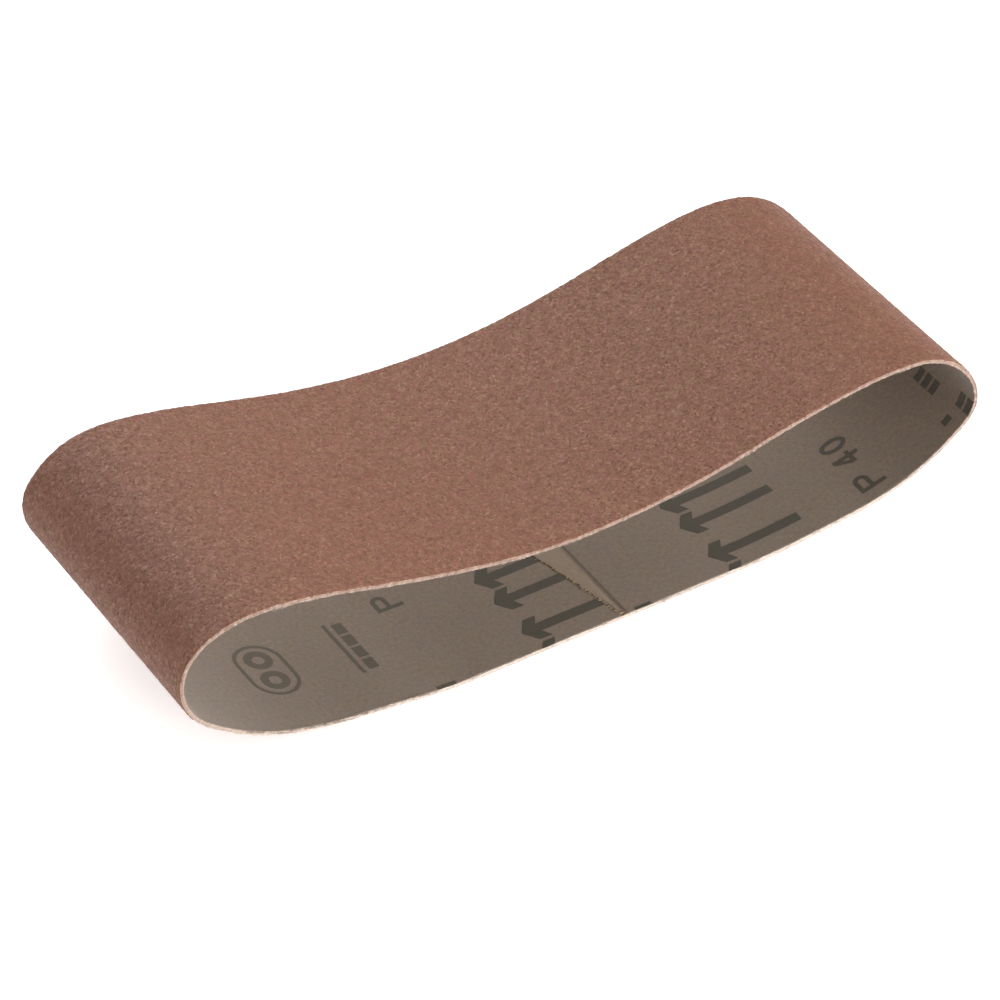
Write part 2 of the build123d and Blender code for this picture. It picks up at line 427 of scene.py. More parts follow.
def twill(n):
    """The height of a filled twill: diagonal ribs of yarns that run along the belt."""
    parts = n.add("SeparateXYZ", {0: n.strip()})
    s, y = parts.outputs[0], parts.outputs[1]
    wander = n.times(n.noise(0.5, 2.0), 0.5)
    lean = n.plus(n.math("DIVIDE", s, RIB_ALONG), n.math("DIVIDE", y, RIB_ACROSS))
    ribs = n.math("SINE", n.times(n.plus(lean, wander), 2 * math.pi))
    yarns = n.math("SINE", n.times(n.math("DIVIDE", y, WARP_PITCH), math.pi))
    height = n.times(n.math("ABSOLUTE", yarns), 0.6)
    return n.plus(height, n.times(n.plus(ribs, 1.0), 0.25))


CLOTH_COLOUR = srgb(123, 106, 91)
CLOTH_DARK = srgb(107, 92, 77)
CLOTH_PALE = srgb(141, 123, 105)
CLOTH_SPECK = srgb(88, 75, 63)
CLOTH_GREY = srgb(120, 109, 101)
LAP_CREASE = 9.3


def cloth_material():
    """Filled cotton twill, grey-brown, stained and specked, with a bare pale cut edge, painted paler
    along the lower run as painted light, and a brown line beside the lap, partly glue stain and
    partly painted shade of the step where the lap ends."""
    n = Nodes("cloth")
    weave = twill(n)
    stain = n.noise(0.07, 4.0, 0.6)
    speckle = n.noise(2.2, 3.0, 0.7)
    colour = n.mix(n.level(stain, 0.2, 0.7, 0.4, 1.0), CLOTH_DARK, CLOTH_COLOUR)
    colour = n.mix(n.level(weave, 0.15, 0.95, 0.0, 0.4), colour, CLOTH_PALE)
    colour = n.mix(n.level(speckle, 0.38, 0.7, 0.0, 0.6), colour, CLOTH_SPECK)
    colour = n.mix(n.level(n.noise(0.9, 3.0, 0.7), 0.35, 0.65, 0.6, 0.0), colour, CLOTH_PALE)
    colour = n.mix(n.level(n.noise(0.22, 3.0, 0.6), 0.4, 0.65, 0.0, 0.5), colour, CLOTH_GREY)
    # Painted shade: a brown line along the step where the lap ends, partly glue stain and partly painted
    # shade.
    crease = n.math("ABSOLUTE", n.math("SUBTRACT", n.along(), LAP_CREASE))
    shade = n.plus(crease, n.times(speckle, 0.8))
    colour = n.mix(n.level(shade, 0.4, 1.1, 0.85, 0.0), colour, srgb(74, 58, 43))
    rim = n.level(n.plus(n.value("rim"), n.times(speckle, 0.4)), 0.6, 1.15)
    colour = n.mix(rim, colour, cut_edge(n))
    n.bump(n.plus(weave, n.times(speckle, 0.8)), 0.05, 0.7)
    return n.finish(colour, n.level(speckle, 0.2, 0.8, 0.78, 0.92), 0.25, 0.15)


def lap_material():
    """The ground end of the strip: the filler is gone and the paler yarns show."""
    n = Nodes("ground_cloth")
    weave = twill(n)
    speckle = n.noise(1.8, 3.0, 0.7)
    colour = n.mix(n.level(weave, 0.2, 0.9, 0.2, 0.7), srgb(124, 108, 90), srgb(152, 135, 114))
    colour = n.mix(n.level(speckle, 0.4, 0.75, 0.0, 0.5), colour, srgb(134, 114, 92))
    # Painted shade, partly glue stain, where the dark attribute says so: along the lap's straight end and
    # on its end walls.
    stain_and_shade = n.times(n.value("dark"), n.level(speckle, 0.2, 0.6, 0.75, 1.0))
    colour = n.mix(n.times(stain_and_shade, 0.9), colour, srgb(84, 68, 54))
    n.bump(n.plus(n.times(weave, 0.5), speckle), 0.08, 0.8)
    return n.finish(colour, n.level(speckle, 0.2, 0.8, 0.8, 0.95), 0.2, 0.2)


def thread_material(name, low, high):
    """Loose cotton: two tones, uneven along each fibre."""
    n = Nodes(name)
    colour = n.mix(n.level(n.noise(1.1, 2.0), 0.40, 0.72), low, high)
    n.bump(n.noise(9.0, 1.0), 0.02, 0.5)
    return n.finish(colour, n.level(n.noise(3.0), 0.3, 0.7, 0.75, 0.95), 0.3, 0.3)


INK_FADE = (-60.0, -22.0)


def ink_material():
    """Flat dark ink that the weave breaks up a little, worn paler over the symbol."""
    n = Nodes("ink")
    weave = twill(n)
    worn = n.noise(1.5, 3.0, 0.7)
    share = n.times(n.level(weave, 0.45, 1.0, 0.0, 0.45), n.level(worn, 0.35, 0.7))
    share = n.plus(share, n.level(n.along(), *INK_FADE, 0.45, 0.0), clamp=True)
    colour = n.mix(share, srgb(76, 71, 61), srgb(110, 99, 86))
    n.bump(weave, 0.05, 0.6)
    return n.finish(colour, n.level(worn, 0.3, 0.7, 0.6, 0.8), 0.3)


def resin_material():
    """The make coat, seen as a thin line in the cut edges, painted paler along the lower run as painted
    light.
    """
    n = Nodes("resin")
    position = n.add("TexCoord").outputs["Object"]
    mottle = n.noise(900.0, 3.0, 0.6, position)
    colour = n.mix(n.level(mottle, 0.35, 0.65), srgb(110, 82, 68), srgb(146, 120, 106))
    n.bump(mottle, 0.05, 0.6)
    return n.finish(painted_light_below(n, colour), n.level(mottle, 0.3, 0.7, 0.45, 0.7), 0.4)


def glue_material(name, dark, light):
    """Glue that has taken up dust, more amber where its attribute says so."""
    n = Nodes(name)
    position = n.add("TexCoord").outputs["Object"]
    mottle = n.noise(700.0, 3.0, 0.6, position)
    colour = n.mix(n.level(mottle, 0.35, 0.65), dark, light)
    colour = n.mix(n.times(n.value("amber"), 0.7), colour, srgb(134, 98, 68))
    n.bump(mottle, 0.06, 0.5)
    return n.finish(colour, n.level(mottle, 0.3, 0.7, 0.35, 0.6), 0.4)


# ---- The coats of grit ----

LAP_EDGE = 8.5
LAP_SLANT = 17.5
BUTT_FROM, BUTT_TO = 19.2, 19.5
SLANT_FADE = 55.0
GRIT_PITCH = 0.62
GRIT_LOW, GRIT_HIGH = 0.98, 1.19
GRIT_WANDER = 0.36
EDGE_WEAR = 0.22
CHIP_SIZE = 0.6
RIM_FADE = 0.4


def slant(y):
    """How far the slanted cuts of the splice have moved along the belt at y."""
    return -LAP_SLANT * (y + HALF_WIDTH) / BELT_WIDTH


def from_butt(run, y):
    """How far along the strip a point is, from its run past the slanted butt line.

    The slant fades out on both sides of the splice."""
    length = INNER_LENGTH - (BUTT_TO - BUTT_FROM)
    near = np.clip(1 - run / SLANT_FADE, 0, 1) + np.clip(1 - (length - run) / SLANT_FADE, 0, 1)
    return BUTT_TO + run + slant(y) * near


def rim_share(y):
    """1 at the belt's two long edges, falling to 0 a little way in."""
    return np.clip(1 - (HALF_WIDTH - np.abs(y)) / RIM_FADE, 0, 1)


def make_grit_face(material):
    """The outer face: irregular facets of resin over grit, with worn edges, and a joint
    where the two slanted ends of the strip meet."""
    length = INNER_LENGTH - (BUTT_TO - BUTT_FROM)
    columns, rows = round(length / GRIT_PITCH) + 1, round(BELT_WIDTH / GRIT_PITCH) + 1
    along, across = np.linspace(0, length, columns), np.linspace(-HALF_WIDTH, HALF_WIDTH, rows)
    s, y = np.meshgrid(along, across, indexing="ij")
    inside = np.zeros(s.shape)
    inside[1:-1, 1:-1] = 1
    wander = random.uniform(-GRIT_WANDER, GRIT_WANDER, (2, *s.shape)) * GRIT_PITCH
    s, y = s + wander[0] * inside, y + wander[1] * inside
    chips = np.clip(smooth_noise(s, y, 2.2, 5) - 0.25, 0, 1) * CHIP_SIZE
    worn = random.uniform(0.0, EDGE_WEAR, columns)
    edge = np.abs(across) > HALF_WIDTH - 0.1
    y = np.where(edge, np.sign(y) * (HALF_WIDTH + 0.05 - worn[:, None] - chips), y)
    s = from_butt(s, y)
    lumps = smooth_noise(s, y, 1.7, 6) * 0.5 + smooth_noise(s, y, 0.9, 7) * 0.5
    peak = np.clip(random.beta(2.2, 2.0, s.shape) * 0.8 + lumps * 0.25 + 0.1, 0, 1)
    depth = GRIT_LOW + (GRIT_HIGH - GRIT_LOW) * peak
    depth = np.where(edge, depth - 0.10, depth)
    outer = np.stack([s, y, depth], -1).reshape(-1, 3)

    rims, inner = [], []
    for side in (-1, 1):
        near = outer.reshape(columns, rows, 3)[:, 0 if side < 0 else -1]
        bulge = random.uniform(-0.02, 0.16, columns)
        middle = near[:, 0], side * (HALF_WIDTH + bulge), random.uniform(0.78, 0.92, columns)
        rims.append(np.stack(middle, -1))
        foot = near[:, 0], np.full(columns, side * HALF_WIDTH), np.full(columns, MAKE_COAT_DEPTH)
        inner.append(np.stack(foot, -1))
    strip = np.concatenate([outer, rims[0], rims[1], inner[0], inner[1]])

    quads = grid_faces(columns, rows)
    flip = random.random(len(quads)) < 0.5
    first = np.where(flip[:, None], quads[:, [0, 1, 2]], quads[:, [0, 1, 3]])
    second = np.where(flip[:, None], quads[:, [0, 2, 3]], quads[:, [1, 2, 3]])
    triangles = np.concatenate([first, second])
    tones = np.clip(random.normal(0.5, 0.2, len(triangles)), 0, 1)

    base = columns * rows
    low_edge, high_edge = np.arange(columns) * rows, np.arange(columns) * rows + rows - 1
    rim_low, rim_high, foot_low, foot_high = (base + k * columns + np.arange(columns) for k in range(4))
    lines = (low_edge, rim_low, foot_low, foot_high, rim_high, high_edge)
    walls = [np.stack([a[:-1], a[1:], b[1:], b[:-1]], -1) for a, b in zip(lines, lines[1:])]
    faces = triangles.tolist() + np.concatenate(walls).tolist()
    for column in (0, columns - 1):
        ring = [column * rows + j for j in range(rows)]
        ring += [rim_high[column], foot_high[column], foot_low[column], rim_low[column]]
        faces.append([int(i) for i in (ring[::-1] if column == 0 else ring)])
    tones = np.concatenate([tones, random.uniform(0.3, 0.8, len(faces) - len(tones))])
    hidden = np.arange(2 * (columns - 1), 3 * (columns - 1)) + len(triangles)
    rim = rim_share(strip[:, 1]) * 0.8
    rim[base:] = 1
    return add_piece("grit_face", faces, strip, material, False, hidden, tone=tones, rim=rim)


CRYSTAL_COUNT = 21000
CRYSTAL_SIZE = (0.13, 0.27)
OCTAHEDRON = np.array([(1, 0, 0), (-1, 0, 0), (0, 1, 0), (0, -1, 0), (0, 0, 1), (0, 0, -1)], float)
OCTAHEDRON_FACES = np.array(
    [(0, 2, 4), (2, 1, 4), (1, 3, 4), (3, 0, 4), (2, 0, 5), (1, 2, 5), (3, 1, 5), (0, 3, 5)]
)


def random_turns(count):
    """That many random rotation matrices."""
    q = random.normal(size=(count, 4))
    a, b, c, d = (q / np.linalg.norm(q, axis=1, keepdims=True)).T
    rows = [
        [1 - 2 * (c * c + d * d), 2 * (b * c - a * d), 2 * (b * d + a * c)],
        [2 * (b * c + a * d), 1 - 2 * (b * b + d * d), 2 * (c * d - a * b)],
        [2 * (b * d - a * c), 2 * (c * d + a * b), 1 - 2 * (b * b + c * c)],
    ]
    return np.array(rows).transpose(2, 0, 1)


def make_crystals(material):
    """Single sharp grains that stand through the size coat all over the outer face."""
    n = CRYSTAL_COUNT
    run = random.uniform(0.2, INNER_LENGTH - 0.5, n)
    y = random.uniform(-HALF_WIDTH + 0.2, HALF_WIDTH - 0.2, n)
    centres = np.stack([from_butt(run, y), y, random.uniform(0.96, 1.06, n)], -1)
    radii = random.uniform(*CRYSTAL_SIZE, (n, 1, 3)) * random.uniform(0.75, 1.15, (n, 1, 1))
    corners = OCTAHEDRON[None] * radii * random.uniform(0.75, 1.15, (n, 6, 1))
    corners = corners @ random_turns(n)
    strip = (centres[:, None] + corners).reshape(-1, 3)
    strip[:, 2] = np.clip(strip[:, 2], MAKE_COAT_DEPTH, GRIT_HIGH + 0.005)
    faces = (OCTAHEDRON_FACES[None] + 6 * np.arange(n)[:, None, None]).reshape(-1, 3)
    tones = np.clip(np.repeat(random.beta(2, 2.6, n), 8) + random.normal(0, 0.06, 8 * n), 0, 1)
    return add_piece("grain_crystals", faces.tolist(), strip, material, False, tone=tones)


# ---- The cloth and its splice ----

LAP_LINE = 9.1
CLOTH_STEP = 0.5
CLOTH_START = LAP_LINE - 0.2
CLOTH_INSETS = np.array([0.0, 0.12, 0.35, 0.8, 1.6])
CLOTH_MIDDLE = HALF_WIDTH - 3.0
CLOTH_ROWS = 47


def band_columns():
    """The distances along the strip of the columns of a closed band, and how many they are."""
    columns = round(INNER_LENGTH / CLOTH_STEP)
    return CLOTH_START + np.arange(columns) * INNER_LENGTH / columns, columns


def add_band(name, rows, material, smooth=True, hidden_rows=(), **values):
    """A closed band round the whole loop from rows of points round its cross-section:
    the inner face from -Y to +Y, then the outer face back. values are one list a row."""
    columns, count = len(rows[0]), len(rows)
    strip = np.stack(rows, 1).reshape(-1, 3)
    i, j = np.meshgrid(np.arange(columns), np.arange(count), indexing="ij")
    after_i, after_j = (i + 1) % columns, (j + 1) % count
    corners = [i * count + j, after_i * count + j, after_i * count + after_j, i * count + after_j]
    quads = np.stack(corners, -1).reshape(-1, 4)
    hidden = np.flatnonzero(np.isin(np.arange(len(quads)) % count, hidden_rows))
    values = {key: np.stack(each, 1).ravel() for key, each in values.items()}
    return add_piece(name, quads.tolist(), strip, material, smooth, hidden, **values)


def make_cloth(material):
    """The cloth strip, a closed loop whose long edges are cut a little unevenly."""
    along, columns = band_columns()
    middle = np.linspace(-CLOTH_MIDDLE, CLOTH_MIDDLE, CLOTH_ROWS)
    across = np.concatenate([CLOTH_INSETS - HALF_WIDTH, middle, (HALF_WIDTH - CLOTH_INSETS)[::-1]])
    rows = []
    for k, y in enumerate(across):
        y = np.full(columns, y)
        if k in (0, len(across) - 1):
            y = y + random.uniform(-0.10, 0.10, columns) + 0.06 * smooth_noise(along, y, 3.0, 11)
        depth = cloth_swell(along, y) + 0.05 * rim_share(y) * smooth_noise(along, y, 1.2, 15)
        rows.append(np.stack([along, y, depth], -1))
    rims = [rim_share(row[:, 1]) for row in rows]
    for side in (1, -1):
        out = side * (HALF_WIDTH + random.uniform(-0.03, 0.12, columns))
        bulge = np.stack([along, out, random.uniform(0.2, 0.34, columns)], -1)
        back = np.stack([along, np.full(columns, side * HALF_WIDTH), np.full(columns, CLOTH_DEPTH)], -1)
        rows += [bulge, back][::side]
        rims += [np.ones(columns)] * 2
    hidden = [len(across) + 1]
    piece = add_band("cloth_strip", rows, material, True, hidden, rim=rims)
    piece.data.set_sharp_from_angle(angle=SHARP_ANGLE)
    return piece


def cloth_swell(s, y):
    """How far the cloth's inner face swells and dips."""
    return 0.035 * smooth_noise(s, y, 9.0, 13) + 0.02 * smooth_noise(s, y, 2.4, 14)


def make_coat_film(material):
    """The make coat between the cloth and the grit, which shows in the cut edges."""
    along, columns = band_columns()
    rows = []
    for side, depth in ((-1, CLOTH_DEPTH), (1, CLOTH_DEPTH), (1, MAKE_COAT_DEPTH), (-1, MAKE_COAT_DEPTH)):
        out = side * (HALF_WIDTH + random.uniform(-0.02, 0.08, columns))
        rows.append(np.stack([along, out, np.full(columns, depth)], -1))
    return add_band("coat_film", rows, material, False, [0, 2])


LAP_STEP = 0.22
LAP_COLUMNS = 16
LAP_LEAST = 0.35
LAP_END = HALF_WIDTH - 0.05
LAP_ACROSS = np.arange(-LAP_END, LAP_END, LAP_STEP)
LAP_RISE, LAP_RISE_MORE = 0.16, 0.10
LAP_GLUE_SHADOW_WIDTH = 0.6
LAP_GLUE_SHADOW_PROFILE = [(-1.0, 0.05), (-0.8, -0.035), (-0.3, -0.06), (0.35, -0.06), (0.35, 0.05)]
SHARP_ANGLE = math.radians(50)


def ragged_edge(y):
    """Where the ground end of the strip stops, along the belt."""
    fine = smooth_noise(y * 3 + 40, y * 0, 1.1, 21) * 0.22
    coarse = smooth_noise(y * 3 + 90, y * 0, 3.4, 22) * 0.35
    return np.minimum(LAP_EDGE + slant(y) + fine + coarse, LAP_LINE - LAP_LEAST)


def make_lap_end(material):
    """The ground end of the strip, which lies over the other end inside the loop."""
    rows = len(LAP_ACROSS)
    share = 1 - np.linspace(1, 0, LAP_COLUMNS) ** 1.7
    start = ragged_edge(LAP_ACROSS)
    s = start[None] + share[:, None] * (LAP_LINE - start)[None]
    y = np.broadcast_to(LAP_ACROSS, s.shape)
    high = LAP_RISE + LAP_RISE_MORE * (1 - share[:, None]) + 0.05 * smooth_noise(s, y, 1.1, 23)
    high[0] -= 0.05
    high[-3:] = np.array([0.13, 0.08, 0.05])[:, None]
    top = np.stack([s, y, -high], -1).reshape(-1, 3)
    foot = np.stack([s[[0, -1]], y[[0, -1]], np.full((2, rows), 0.08)], -1).reshape(-1, 3)
    strip = np.concatenate([top, foot])
    base = LAP_COLUMNS * rows
    faces = grid_faces(LAP_COLUMNS, rows)[:, ::-1].tolist()
    for j in range(rows - 1):
        faces.append([j + 1, j, base + j, base + j + 1])
        last = (LAP_COLUMNS - 1) * rows + j
        faces.append([last, last + 1, base + rows + j + 1, base + rows + j])
        faces.append([base + j, base + rows + j, base + rows + j + 1, base + j + 1])
    for j, order in ((0, 1), (rows - 1, -1)):
        ring = [k * rows + j for k in range(LAP_COLUMNS)] + [base + rows + j, base + j]
        faces.append(ring[::order])
    # dark marks painted shade, partly glue stain, along the straight end of the lap and on its end walls.
    from_line = LAP_LINE - s + 0.12 * smooth_noise(s, y, 1.4, 24)
    dark = np.clip(1.15 - np.abs(from_line - 0.1) / 0.7, 0, 1)
    dark = np.concatenate([dark.ravel(), np.ones(2 * rows)])
    piece = add_piece("lap_end", faces, strip, material, dark=dark)
    piece.data.set_sharp_from_angle(angle=SHARP_ANGLE)
    return piece


def make_lap_glue_and_shadow(material):
    """A thin line along the ragged end: glue squeezed out, amber towards the near edge, and dark partly as
    painted shadow of the raised end.
    """
    rows = len(LAP_ACROSS)
    edge, y = ragged_edge(LAP_ACROSS), LAP_ACROSS
    width = LAP_GLUE_SHADOW_WIDTH + 0.15 * smooth_noise(y * 3, y * 0, 3.0, 25)
    rings = [np.stack([edge + u * width, y, np.full(rows, d)], -1) for u, d in LAP_GLUE_SHADOW_PROFILE]
    strip = np.stack(rings, 0).reshape(-1, 3)
    count = len(LAP_GLUE_SHADOW_PROFILE)
    faces = []
    for k in range(count):
        after = (k + 1) % count
        for j in range(rows - 1):
            faces.append([k * rows + j, after * rows + j, after * rows + j + 1, k * rows + j + 1])
    faces.append([k * rows for k in range(count)][::-1])
    faces.append([k * rows + rows - 1 for k in range(count)])
    amber = np.tile(np.clip(-(y + 10) / 25, 0, 1), count)
    return add_piece("lap_glue_and_shadow", faces, strip, material, amber=amber)


# ---- Threads ----

THREAD_SIDES = 3
WEFT_PITCH = 0.5
FUZZ_COUNT = 4400
LAP_YARN_COUNT = 300


def make_threads(name, paths, radii, material):
    """Tapered threads along paths on the strip, an array of threads x points x 3."""
    count, points = paths.shape[:2]
    forward = np.gradient(paths, axis=1)
    forward /= np.linalg.norm(forward, axis=2, keepdims=True)
    helper = np.where(np.abs(forward[..., 2:]) < 0.8, [[[0.0, 0.0, 1.0]]], [[[1.0, 0.0, 0.0]]])
    side = np.cross(forward, helper)
    side /= np.linalg.norm(side, axis=2, keepdims=True)
    up = np.cross(side, forward)
    angles = np.arange(THREAD_SIDES) * 2 * math.pi / THREAD_SIDES
    taper = np.linspace(1, 0.35, points)
    reach = radii[:, None, None, None] * taper[None, :, None, None]
    ring = side[:, :, None] * np.cos(angles)[:, None] + up[:, :, None] * np.sin(angles)[:, None]
    strip = (paths[:, :, None] + ring * reach).reshape(-1, 3)
    one = []
    for k in range(points - 1):
        for m in range(THREAD_SIDES):
            n = (m + 1) % THREAD_SIDES
            a, b = k * THREAD_SIDES, (k + 1) * THREAD_SIDES
            one.append((a + m, a + n, b + n, b + m))
    faces = np.array(one)[None] + (np.arange(count) * points * THREAD_SIDES)[:, None, None]
    faces = faces.reshape(-1, 4).tolist()
    for first in range(0, len(strip), points * THREAD_SIDES):
        last = first + (points - 1) * THREAD_SIDES
        faces.append([first + 2, first + 1, first])
        faces.append([last, last + 1, last + 2])
    return add_piece(name, faces, strip, material)


def curly(roots, steps, points, wander):
    """Paths from roots that go on by a step each point and wander a little."""
    count = len(roots)
    drift = random.normal(0, 1, (count, points, 3)).cumsum(1) * wander[:, None, None]
    drift -= drift[:, :1]
    return roots[:, None] + steps[:, None] * np.arange(points)[None, :, None] + drift


def make_weft_stubs(material):
    """The cut ends of the yarns that run across the belt, along both long edges."""
    along = np.arange(0, INNER_LENGTH, WEFT_PITCH)
    paths, radii = [], []
    for side in (-1, 1):
        n = len(along)
        s = along + CLOTH_START + random.uniform(-0.12, 0.12, n)
        depth = random.uniform(0.12, 0.45, n)
        roots = np.stack([s, np.full(n, side * (HALF_WIDTH - 0.15)), depth], -1)
        length = random.uniform(0.15, 0.42, n)
        steps = np.stack([random.normal(0, 0.03, n), side * length / 2, random.normal(0, 0.02, n)], -1)
        paths.append(curly(roots, steps, 3, np.full(n, 0.01)))
        radii.append(random.uniform(0.07, 0.13, n))
    return make_threads("weft_ends", np.concatenate(paths), np.concatenate(radii), material)


def make_fuzz(material):
    """Fine fibres along both edges, most of them short."""
    n = FUZZ_COUNT
    side = random.choice([-1, 1], n)
    s = random.uniform(0, INNER_LENGTH, n)
    roots = np.stack([s, side * (HALF_WIDTH - 0.05), random.uniform(-0.02, 0.7, n)], -1)
    length = random.gamma(2.0, 0.28, n)
    lean = random.normal(0, 0.8, n)
    steps = np.stack([np.sin(lean), side * np.abs(np.cos(lean)) * 0.45, random.normal(0, 0.15, n)], -1)
    paths = curly(roots, steps * length[:, None] / 4, 5, length * 0.04)
    return make_threads("edge_fuzz", paths, random.uniform(0.018, 0.035, n), material)


LOOSE_YARNS = (
    # start along the belt, end, how many, side
    (-98.0, -50.0, 110, -1),
    (-50.0, 96.0, 30, -1),
    (96.0, 150.0, 16, -1),
    (150.0, 330.0, 44, -1),
    (0.0, 440.0, 30, 1),
)


def make_loose_yarns(material):
    """Warp yarns that have worked loose and lie along the edges."""
    points = 9
    paths, radii = [], []
    for low, high, n, side in LOOSE_YARNS:
        s = random.uniform(low, high, n)
        length = random.uniform(2.0, 9.0, n)
        y = side * (HALF_WIDTH - random.uniform(-0.05, 0.15, n))
        roots = np.stack([s, y, random.uniform(0.0, 0.35, n)], -1)
        steps = np.stack([length / points, side * random.uniform(-0.01, 0.05, n), np.zeros(n)], -1)
        paths.append(curly(roots, steps, points, np.full(n, 0.04)))
        radii.append(random.uniform(0.05, 0.11, n))
    return make_threads("loose_yarns", np.concatenate(paths), np.concatenate(radii), material)


def make_lap_yarns(material):
    """Frayed yarn ends that stick out past the ground end inside the loop."""
    n = LAP_YARN_COUNT
    y = -HALF_WIDTH + 0.5 + (BELT_WIDTH - 1.0) * random.random(n) ** 1.5
    roots = np.stack([ragged_edge(y) + 0.25, y, -random.uniform(0.05, 0.2, n)], -1)
    near = np.clip(-(y + 12) / 20, 0, 1)
    length = random.uniform(0.3, 0.8, n) * (1 + 0.8 * near)
    steps = np.stack([-length / 3, random.normal(0, 0.06, n), random.uniform(0.0, 0.04, n)], -1)
    paths = curly(roots, steps, 4, np.full(n, 0.02))
    paths[..., 2] = np.minimum(paths[..., 2], -0.03)
    return make_threads("lap_yarns", paths, random.uniform(0.05, 0.10, n), material)


# ---- Ink ----

INK_RISE = 0.04
INK_ROOT = 0.03
INK_STEP = 0.4
INK_GRID = 1.0
INK_WOBBLE = 0.05
INK_MARGIN = 0.12

plan_s = np.arange(-100.0, 104.0, 0.25)
plan_x = place(plan_s, 0.0, 0.0)[:, 0]


def strip_at(x):
    """How far along the strip a point of its lower run is, from its x."""
    return np.interp(x, plan_x, plan_s)


def clip(ring, normal, limit):
    """The part of a ring of points on the far side of a line, where point @ normal > limit."""
    kept = []
    for a, b in zip(ring, np.roll(ring, -1, axis=0)):
        height_a, height_b = a @ normal - limit, b @ normal - limit
        if height_a >= 0:
            kept.append(a)
        if (height_a >= 0) != (height_b >= 0):
            kept.append(a + (b - a) * height_a / (height_a - height_b))
    return np.array(kept)


def arc(centre, radius, start, end, squeeze=1.0):
    """Points of an arc, with angles in degrees. squeeze scales its height."""
    angles = np.radians(np.linspace(start, end, max(6, round(abs(end - start) / 15))))
    return [(centre[0] + radius * math.cos(a), centre[1] + radius * squeeze * math.sin(a)) for a in angles]


def rectangle(low_u, low_v, high_u, high_v):
    return [(low_u, low_v), (high_u, low_v), (high_u, high_v), (low_u, high_v)]


def slot_ring(length, height):
    half, radius = (length - height) / 2, height / 2
    return arc((half, 0), radius, -90, 90) + arc((-half, 0), radius, 90, 270)


def resampled(ring):
    """A ring with points every INK_STEP, each a little off the line."""
    ring = np.asarray(ring, float)
    out = []
    for a, b in zip(ring, np.roll(ring, -1, axis=0)):
        pieces = max(1, round(np.linalg.norm(b - a) / INK_STEP))
        out += [a + (b - a) * k / pieces for k in range(pieces)]
    out = np.array(out)
    return out + random.uniform(-INK_WOBBLE, INK_WOBBLE, out.shape)


def within(points, rings):
    """Which points lie inside the rings, by the even-odd rule."""
    inside = np.zeros(len(points), bool)
    for ring in rings:
        for a, b in zip(ring, np.roll(ring, -1, axis=0)):
            spans = (a[1] > points[:, 1]) != (b[1] > points[:, 1])
            if spans.any():
                cross = a[0] + (b[0] - a[0]) * (points[:, 1] - a[1]) / (b[1] - a[1] + 1e-12)
                inside ^= spans & (points[:, 0] < cross)
    return inside


def filled(rings):
    """Points and triangles that fill the rings."""
    points, edges = [], []
    for ring in rings:
        first = len(points)
        points += [Vector(p) for p in ring]
        edges += [(first + k, first + (k + 1) % len(ring)) for k in range(len(ring))]
    every = np.concatenate(rings)
    low, high = every.min(0), every.max(0)
    u = np.arange(low[0] + INK_GRID / 2, high[0], INK_GRID)
    v = np.arange(low[1] + INK_GRID / 2, high[1], INK_GRID)
    grid = np.stack(np.meshgrid(u, v, indexing="ij"), -1).reshape(-1, 2)
    points += [Vector(p) for p in grid[within(grid, rings)]]
    out_points, _, triangles, *_ = delaunay_2d_cdt(points, edges, [], 0, 1e-5)
    flat, triangles = np.array(out_points), np.array(triangles)
    keep = within(flat[triangles].mean(1), rings)
    return flat, triangles[keep]


def make_ink(name, shapes, material):
    """A thin skin of ink over the cloth. Each shape is a list of rings on the strip."""
    strips, faces, base = [], [], 0
    for rings in shapes:
        rings = [resampled(ring) for ring in rings]
        for ring in rings:
            ring[:, 1] = np.clip(ring[:, 1], INK_MARGIN - HALF_WIDTH, HALF_WIDTH - INK_MARGIN)
        flat, triangles = filled(rings)
        used, triangles = np.unique(triangles, return_inverse=True)
        triangles = triangles.reshape(-1, 3)
        flat = flat[used]
        a, b, c = (flat[triangles[:, k]] for k in range(3))
        area = (b[:, 0] - a[:, 0]) * (c[:, 1] - a[:, 1]) - (b[:, 1] - a[:, 1]) * (c[:, 0] - a[:, 0])
        triangles = np.where(area[:, None] > 0, triangles, triangles[:, ::-1])
        count = len(flat)
        edges = np.concatenate([triangles[:, [0, 1]], triangles[:, [1, 2]], triangles[:, [2, 0]]])
        both = {tuple(edge) for edge in edges.tolist()}
        rim = [(p, q) for p, q in both if (q, p) not in both]
        swell = cloth_swell(*flat.T)
        for depth in (swell - INK_RISE, swell + INK_ROOT):
            strips.append(np.column_stack([flat, depth]))
        faces += (triangles + base).tolist()
        faces += (triangles[:, ::-1] + base + count).tolist()
        faces += [[q + base, p + base, p + base + count, q + base + count] for p, q in sorted(rim)]
        base += 2 * count
    strip = np.concatenate(strips)
    return add_piece(name, faces, strip, material, False)


ARROW_TIPS = (-15.0, 36.1)
ARROW_LENGTH = 25.3
ARROW_LANES = [-39.2 + 20.6 * pair + 8.6 * lane for pair in range(4) for lane in range(2)]
ARROW_SIDE = [(2.6, 3.8), (5.8, 3.8), (4.4, 1.35), (ARROW_LENGTH, 1.35)]
ARROW = [(0, 0)] + [(u, -v) for u, v in ARROW_SIDE] + ARROW_SIDE[::-1]


